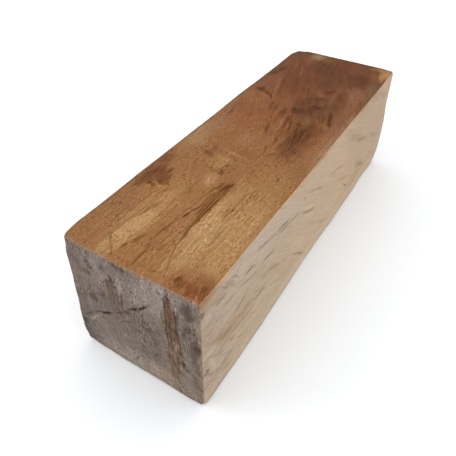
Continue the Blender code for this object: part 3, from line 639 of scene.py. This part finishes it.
def lattice():
    """The unit positions of the surface's grid points, its quads facing out, and each quad's face."""
    rows = [stations(SIZE[axis], CELLS[axis]) for axis in range(3)]
    count = [len(row) for row in rows]
    index = np.arange(count[0] * count[1] * count[2]).reshape(count)
    quads = []
    faces = []
    for axis in range(3):
        for end in (0, 1):
            sheet = np.take(index, (0, -1)[end], axis=axis)
            loop = [sheet[:-1, :-1], sheet[1:, :-1], sheet[1:, 1:], sheet[:-1, 1:]]
            if (axis == 1) == (end == 1):
                loop.reverse()
            quads.append(np.stack(loop, -1).reshape(-1, 4))
            faces += [SLOTS.index(ENDS[axis][end])] * len(quads[-1])
    quads = np.concatenate(quads)
    used, renumbered = np.unique(quads, return_inverse=True)
    place = np.stack(np.unravel_index(used, count), -1)
    unit = np.stack([rows[axis][place[:, axis]] for axis in range(3)], -1)
    return unit, renumbered.reshape(quads.shape), faces


def between_corners(unit):
    """Trilinear place of unit coordinates among the sharp corners."""
    corners = sharp_corners()
    points = np.zeros((len(unit), 3))
    for choice in np.ndindex(2, 2, 2):
        share = np.ones(len(unit))
        for axis in range(3):
            share = share * (unit[:, axis] if choice[axis] else 1 - unit[:, axis])
        points += share[:, None] * corners[choice]
    return points


def noise_at(places, size):
    """Smooth noise, from about -1 to 1, at each place; its clouds are about the given size."""
    return np.array([noise.noise(Vector(place)) for place in places / size])


def near(places, middle, spread):
    """1 at and about the middle, falling to 0 at the spread along each axis."""
    away = np.linalg.norm((places - np.array(middle)) / np.array(spread), axis=1)
    share = np.clip(FALL * (1 - away), 0, 1)
    return share * share * (3 - 2 * share)


def reaches(places):
    """How far the rounding reaches from the faces of each axis, at each point."""
    reach = np.full((len(places), 3), ARRIS)
    for middle, spread, lengths in WEAR:
        share = near(places, middle, spread)[:, None]
        reach = np.maximum(reach, ARRIS + share * (np.array(lengths) - ARRIS))
    return reach * (1 + ARRIS_RAGGED * noise_at(places, ARRIS_RAGGED_SIZE))[:, None]


def rounded(points, places):
    """The points moved in to the rounded arrises, and their outward normals."""
    reach = reaches(places)
    core = points.copy()
    push = np.zeros_like(points)
    lean = np.zeros_like(points)
    for axis in range(3):
        for name in ENDS[axis]:
            normal, offset = PLANES[name]
            inside = offset - points @ normal
            share = np.clip(1 - inside / reach[:, axis], 0, None)
            core -= (share * reach[:, axis])[:, None] * normal
            push += (share * reach[:, axis])[:, None] * normal
            lean += share[:, None] * normal
    size = np.linalg.norm(lean, axis=1, keepdims=True)
    return core + push / size, lean / size


def check_depth(places):
    """How deep the near end's checks are at each place, in millimetres."""
    depth = np.zeros(len(places))
    across = places[:, 1:]
    for start, end, half_width, deepest in CHECKS:
        start, end = np.array(start), np.array(end)
        run = end - start
        share = np.clip((across - start) @ run / (run @ run), 0, 1)
        away = np.linalg.norm(across - start - share[:, None] * run, axis=1)
        depth = np.maximum(depth, deepest * np.exp(-((away / half_width) ** 2)))
    on_near_end = places[:, 0] < ARRIS / 2
    return depth * on_near_end


def bows(places):
    """How far the swells move each point, as vectors in millimetres."""
    moves = np.zeros((len(places), 3))
    for middle, spread, face, amount in SWELLS:
        moves += amount * near(places, middle, spread)[:, None] * PLANES[face][0]
    return moves


def relief(places):
    """How far the wood's low relief lies under the sawn faces, in millimetres."""
    depth = WAVE_DEPTH * noise_at(places, WAVE_SIZE)
    to_end = np.minimum(places[:, 0], LENGTH - places[:, 0])
    sawn = np.clip(1 - to_end / TOOTH_REACH, 0, 1)
    depth += TOOTH_DEPTH * sawn * noise_at(places, TOOTH_SIZE)
    return depth + check_depth(places)


def block_mesh():
    """The block's mesh in metres, with each point's place in the wood as its grain attribute."""
    unit, quads, faces = lattice()
    places = unit * SIZE
    points, normals = rounded(between_corners(unit), places)
    points += bows(places) - normals * relief(places)[:, None] + np.array(CENTRING)
    points[:, 2] = np.maximum(points[:, 2], 0)
    mesh = bpy.data.meshes.new(PIECE)
    mesh.from_pydata(points * MM, [], quads.tolist())
    grain = mesh.attributes.new("grain", "FLOAT_VECTOR", "POINT")
    grain.data.foreach_set("vector", places.astype(np.float32).ravel())
    mesh.polygons.foreach_set("material_index", faces)
    mesh.polygons.foreach_set("use_smooth", np.ones(len(quads), bool))
    mesh.update()
    return mesh


class Graph:
    """Short ways to add nodes to a node tree. A value may be a constant or another node's output."""

    def __init__(self, tree):
        self.tree = tree

    def node(self, kind, *values, **settings):
        made = self.tree.nodes.new("ShaderNode" + kind)
        for name, value in settings.items():
            setattr(made, name, value)
        for socket, value in zip(made.inputs, values):
            self.put(socket, value)
        return made

    def put(self, socket, value):
        if isinstance(value, bpy.types.NodeSocket):
            self.tree.links.new(value, socket)
        else:
            socket.default_value = value

    def math(self, operation, *values):
        return self.node("Math", *values, operation=operation).outputs[0]

    def total(self, *parts):
        """The sum of values, each given with its weight."""
        found = self.math("MULTIPLY", *parts[0])
        for value, weight in parts[1:]:
            found = self.math("MULTIPLY_ADD", value, weight, found)
        return found

    def vector(self, operation, *values):
        made = self.node("VectorMath", *values, operation=operation)
        return made.outputs["Value" if operation in ("DOT_PRODUCT", "LENGTH") else "Vector"]

    def combine(self, x, y, z):
        return self.node("CombineXYZ", x, y, z).outputs[0]

    def separate(self, value):
        return self.node("SeparateXYZ", value).outputs[:]

    def texture(self, place, size, detail, curl=0.0):
        """Noise whose clouds are about the given size, in the units of the place."""
        made = self.node("TexNoise", place)
        self.put(made.inputs["Scale"], 1 / size)
        self.put(made.inputs["Detail"], detail)
        self.put(made.inputs["Distortion"], curl)
        return made

    def noise(self, place, size, detail, curl=0.0):
        """Smooth noise, mostly from -1 to 1."""
        shade = self.texture(place, size, detail, curl).outputs[0]
        return self.math("MULTIPLY_ADD", shade, NOISE_SWING, -NOISE_SWING / 2)

    def shift(self, place, size, reach):
        """The place, pushed about by up to the reach."""
        push = self.texture(place, size, PUSH_DETAIL).outputs[1]
        swing = (reach * NOISE_SWING,) * 3
        back = (-reach * NOISE_SWING / 2,) * 3
        return self.vector("ADD", place, self.vector("MULTIPLY_ADD", push, swing, back))

    def smooth(self, value, low, high, at_low=0.0, at_high=1.0):
        """Eases from one value to the other between two limits."""
        made = self.node("MapRange", value, low, high, at_low, at_high)
        made.interpolation_type = "SMOOTHSTEP"
        made.clamp = False
        return made.outputs[0]

    def mix(self, share, first, second):
        """The colour that lies a share of the way from the first to the second."""
        made = self.node("Mix", share, data_type="RGBA")
        for_first, for_second, result = MIX_SOCKETS
        self.put(made.inputs[for_first], first)
        self.put(made.inputs[for_second], second)
        return made.outputs[result]

    def ramp(self, value, stops):
        """A colour for each value: stops are (value from 0 to 1, colour)."""
        made = self.node("ValToRGB", value)
        elements = made.color_ramp.elements
        elements.remove(elements[-1])
        elements[0].position, elements[0].color = stops[0]
        for where, colour in stops[1:]:
            elements.new(where).color = colour
        return made.outputs[0]


def display_to_linear(level):
    """The linear light of an 8-bit display value."""
    share = level / 255
    return share / 12.92 if share <= 0.04045 else ((share + 0.055) / 1.055) ** 2.4


def wood(seen, light, share):
    """The wood's own colour where it is seen as the given 8-bit colour, a share of the way along."""
    gain, sheen = (start + share * (end - start) for start, end in zip(*light))
    own = [max(DARKEST, (display_to_linear(level) - sheen) / gain) for level in seen]
    return (*own, 1.0)


def mark_group():
    """A node group that lays one oval of colour, soft and ragged at its rim, over what is there."""
    tree = bpy.data.node_groups.new("mark", "ShaderNodeTree")
    for name, kind in MARK_SOCKETS:
        tree.interface.new_socket(name, in_out="INPUT", socket_type="NodeSocket" + kind)
    tree.interface.new_socket("Colour", in_out="OUTPUT", socket_type="NodeSocketColor")
    graph = Graph(tree)
    given = tree.nodes.new("NodeGroupInput").outputs
    along = graph.vector("DOT_PRODUCT", given["Field"], given["Along"])
    across = graph.vector("DOT_PRODUCT", given["Field"], given["Across"])
    away = graph.vector("LENGTH", graph.combine(along, across, 0.0))
    away = graph.math("ADD", away, given["Ragged"])
    share = graph.smooth(away, given["Inner"], given["Outer"], given["Strength"], 0.0)
    marked = graph.mix(share, given["Base"], given["Paint"])
    graph.put(tree.nodes.new("NodeGroupOutput").inputs[0], marked)
    return tree


def mark_axes(centre, reach, turn):
    """The vectors that, dotted with (u, v, 1), give a place in the mark's own units."""
    angle = math.radians(turn)
    along = (math.cos(angle), math.sin(angle))
    across = (-math.sin(angle), math.cos(angle))
    axes = []
    for direction, size in zip((along, across), reach):
        middle = direction[0] * centre[0] + direction[1] * centre[1]
        axes.append((direction[0] / size, direction[1] / size, -middle / size))
    return axes


def add_marks(graph, group, colour, field, ragged, look):
    """The colour with every mark of the face laid over it in turn."""
    length = look.ground[-1][0]
    for u, v, reach_u, reach_v, turn, softness, red, green, blue, strength in look.marks:
        made = graph.node("Group", node_tree=group)
        along, across = mark_axes((u, v), (reach_u, reach_v), turn)
        rim = (1 - softness / 100, 1 + softness / 100)
        paint = wood((red, green, blue), look.light, u / length)
        values = (colour, field, along, across, ragged, *rim, strength / 100, paint)
        for socket, value in zip(made.inputs, values):
            graph.put(socket, value)
        colour = made.outputs[0]
    return colour


def grain_lines(graph, look, along, line, run):
    """How dark the fine wandering lines of the grain are: they follow where a long noise is zero."""
    spacing, strength = look.lines
    place = graph.combine(graph.math("MULTIPLY", run, LINE_STRETCH), line, look.offset + LINE_SLICE)
    away = graph.math("ABSOLUTE", graph.noise(place, spacing, LINE_DETAIL))
    dark = graph.smooth(away, 0.0, LINE_WIDTH, strength, 0.0)
    return graph.math("MULTIPLY", dark, graph.smooth(along, *look.line_fade))


def feathers(graph, look, run, line):
    """How dark the short strokes are that lie along the grain in the figured stretch of a face."""
    begin, full, last, end = FEATHER_REACH
    stretched = graph.math("MULTIPLY", run, STROKE_STRETCH)
    place = graph.combine(stretched, line, look.offset + STROKE_SLICE)
    strokes = graph.smooth(graph.noise(place, *STROKES), *STROKE_BY_NOISE)
    strokes = graph.math("MULTIPLY", strokes, graph.smooth(run, begin, full, 0.0, look.feathers))
    return graph.math("MULTIPLY", strokes, graph.smooth(run, last, end, 1.0, FEATHERS_LEFT))


def wood_material(face, look, group):
    """The procedural wood of one sawn face."""
    material = bpy.data.materials.new("burl_" + face)
    material.use_nodes = True
    graph = Graph(material.node_tree)
    shader = material.node_tree.nodes["Principled BSDF"]
    shader.inputs["Specular IOR Level"].default_value = SPECULAR

    # Places on the face, as pushed about
    grain = graph.node("Attribute", attribute_name="grain").outputs["Vector"]
    moved = grain
    for size, reach in PUSHES:
        moved = graph.shift(moved, size, reach)
    axes = graph.separate(moved)
    along, down = (axes[axis] for axis in look.axes)

    # The fibres' course: a shear that sets in along the way they run
    run, across = (down, along) if look.upright else (along, down)
    start, end, pivot, slope = look.bend
    shear = graph.math("MULTIPLY", graph.smooth(run, start, end), slope)
    line = graph.math("MULTIPLY_ADD", graph.math("SUBTRACT", run, pivot), shear, across)
    stretched = graph.math("MULTIPLY", run, look.stretch)
    fibre_place = graph.combine(stretched, line, look.offset)
    shorter = graph.math("MULTIPLY", stretched, SPECKLE_SHORTNESS)
    speckle_place = graph.combine(shorter, line, look.offset)

    slow = graph.noise(grain, *SLOW_TONE)
    clouds = graph.noise(grain, *CLOUDS)
    small_clouds = graph.noise(speckle_place, *SMALL_CLOUDS)
    broad_fibres = graph.noise(fibre_place, *BROAD_FIBRES)
    fibres = graph.noise(fibre_place, *FIBRES)
    speckle = graph.noise(speckle_place, *SPECKLE)
    dots = graph.noise(moved, *DOTS)
    ragged = graph.total(*zip((broad_fibres, small_clouds, fibres), FRAYS))

    # Ground colour along the face, then its marks
    length = look.ground[-1][0]
    drift = graph.math("MULTIPLY_ADD", slow, DRIFT, along)
    stops = [(where / length, wood(seen, look.light, where / length)) for where, seen in look.ground]
    colour = graph.ramp(graph.math("DIVIDE", drift, length), stops)
    field = graph.combine(along, down, 1.0)
    colour = add_marks(graph, group, colour, field, ragged, look)

    # Light and dark of the grain
    fine = graph.smooth(along, *look.fine_fade)
    fine = graph.math("MULTIPLY", fine, graph.smooth(clouds, *FINE_BY_CLOUD))
    tone = graph.total((clouds, look.clouds), (small_clouds, look.small_clouds))
    tone = graph.math("MULTIPLY", tone, graph.smooth(along, *look.cloud_fade))
    glints = graph.smooth(dots, *GLINT_BY_DOT)
    grainy = graph.total(
        (fibres, look.fibres), (broad_fibres, look.broad_fibres), (speckle, look.speckle),
        (glints, look.glints),
    )
    tone = graph.math("MULTIPLY_ADD", grainy, fine, tone)
    lines = graph.math("MULTIPLY", fine, grain_lines(graph, look, along, line, run))
    tone = graph.math("SUBTRACT", tone, lines)
    if look.feathers:
        tone = graph.math("SUBTRACT", tone, feathers(graph, look, run, line))
    tint = graph.vector("MULTIPLY_ADD", graph.combine(tone, tone, tone), TINT, (1, 1, 1))
    graph.put(shader.inputs["Base Color"], graph.vector("MULTIPLY", colour, tint))

    # Sheen and relief from the same noise
    rough = graph.math("MULTIPLY_ADD", clouds, ROUGHNESS_BY_CLOUD, ROUGHNESS)
    rough = graph.math("MULTIPLY_ADD", speckle, ROUGHNESS_BY_SPECKLE, rough)
    graph.put(shader.inputs["Roughness"], rough)
    height = graph.math("MULTIPLY", graph.math("ADD", fibres, speckle), BUMP)
    bump = graph.node("Bump")
    graph.put(bump.inputs["Distance"], MM)
    graph.put(bump.inputs["Height"], height)
    graph.put(shader.inputs["Normal"], bump.outputs[0])
    return material


def add(name, data):
    made = bpy.data.objects.new(name, data)
    bpy.context.scene.collection.objects.link(made)
    return made


def add_block():
    block = add(PIECE, block_mesh())
    marks = mark_group()
    for face in SLOTS:
        block.data.materials.append(wood_material(face, LOOKS[face], marks))
    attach(block, "root")
    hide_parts(NODE)


def add_floor():
    material = bpy.data.materials.new("floor")
    material.use_nodes = True
    inputs = material.node_tree.nodes["Principled BSDF"].inputs
    inputs["Base Color"].default_value = FLOOR_COLOUR
    inputs["Roughness"].default_value = FLOOR_ROUGHNESS
    inputs["Specular IOR Level"].default_value = FLOOR_SPECULAR
    data = bpy.data.meshes.new("floor")
    corners = [(x * FLOOR_REACH, y * FLOOR_REACH, 0) for x, y in ((-1, -1), (1, -1), (1, 1), (-1, 1))]
    data.from_pydata(corners, [], [(0, 1, 2, 3)])
    data.materials.append(material)
    add("floor", data)


def add_studio_light():
    world = bpy.data.worlds.new("studio")
    world.use_nodes = True
    sky = world.node_tree.nodes["Background"].inputs
    sky["Color"].default_value = SKY_COLOUR
    sky["Strength"].default_value = SKY_STRENGTH
    bpy.context.scene.world = world
    bpy.context.scene.view_settings.view_transform = "Standard"
    data = bpy.data.lights.new("key", "AREA")
    data.shape = "DISK"
    data.size = KEY_SIZE
    data.energy = KEY_POWER
    key = add("key", data)
    key.location = KEY_PLACE
    key.rotation_euler = (-Vector(KEY_PLACE)).to_track_quat("-Z", "Y").to_euler()


def add_camera():
    data = bpy.data.cameras.new("camera")
    data.lens = LENS
    data.sensor_width = SENSOR
    data.clip_start = CLIP_START
    camera = add("camera", data)
    camera.location = CAMERA_PLACE
    camera.rotation_euler = Euler(tuple(math.radians(angle) for angle in CAMERA_TURN))
    bpy.context.scene.camera = camera


add_block()
add_floor()
add_studio_light()
add_camera()
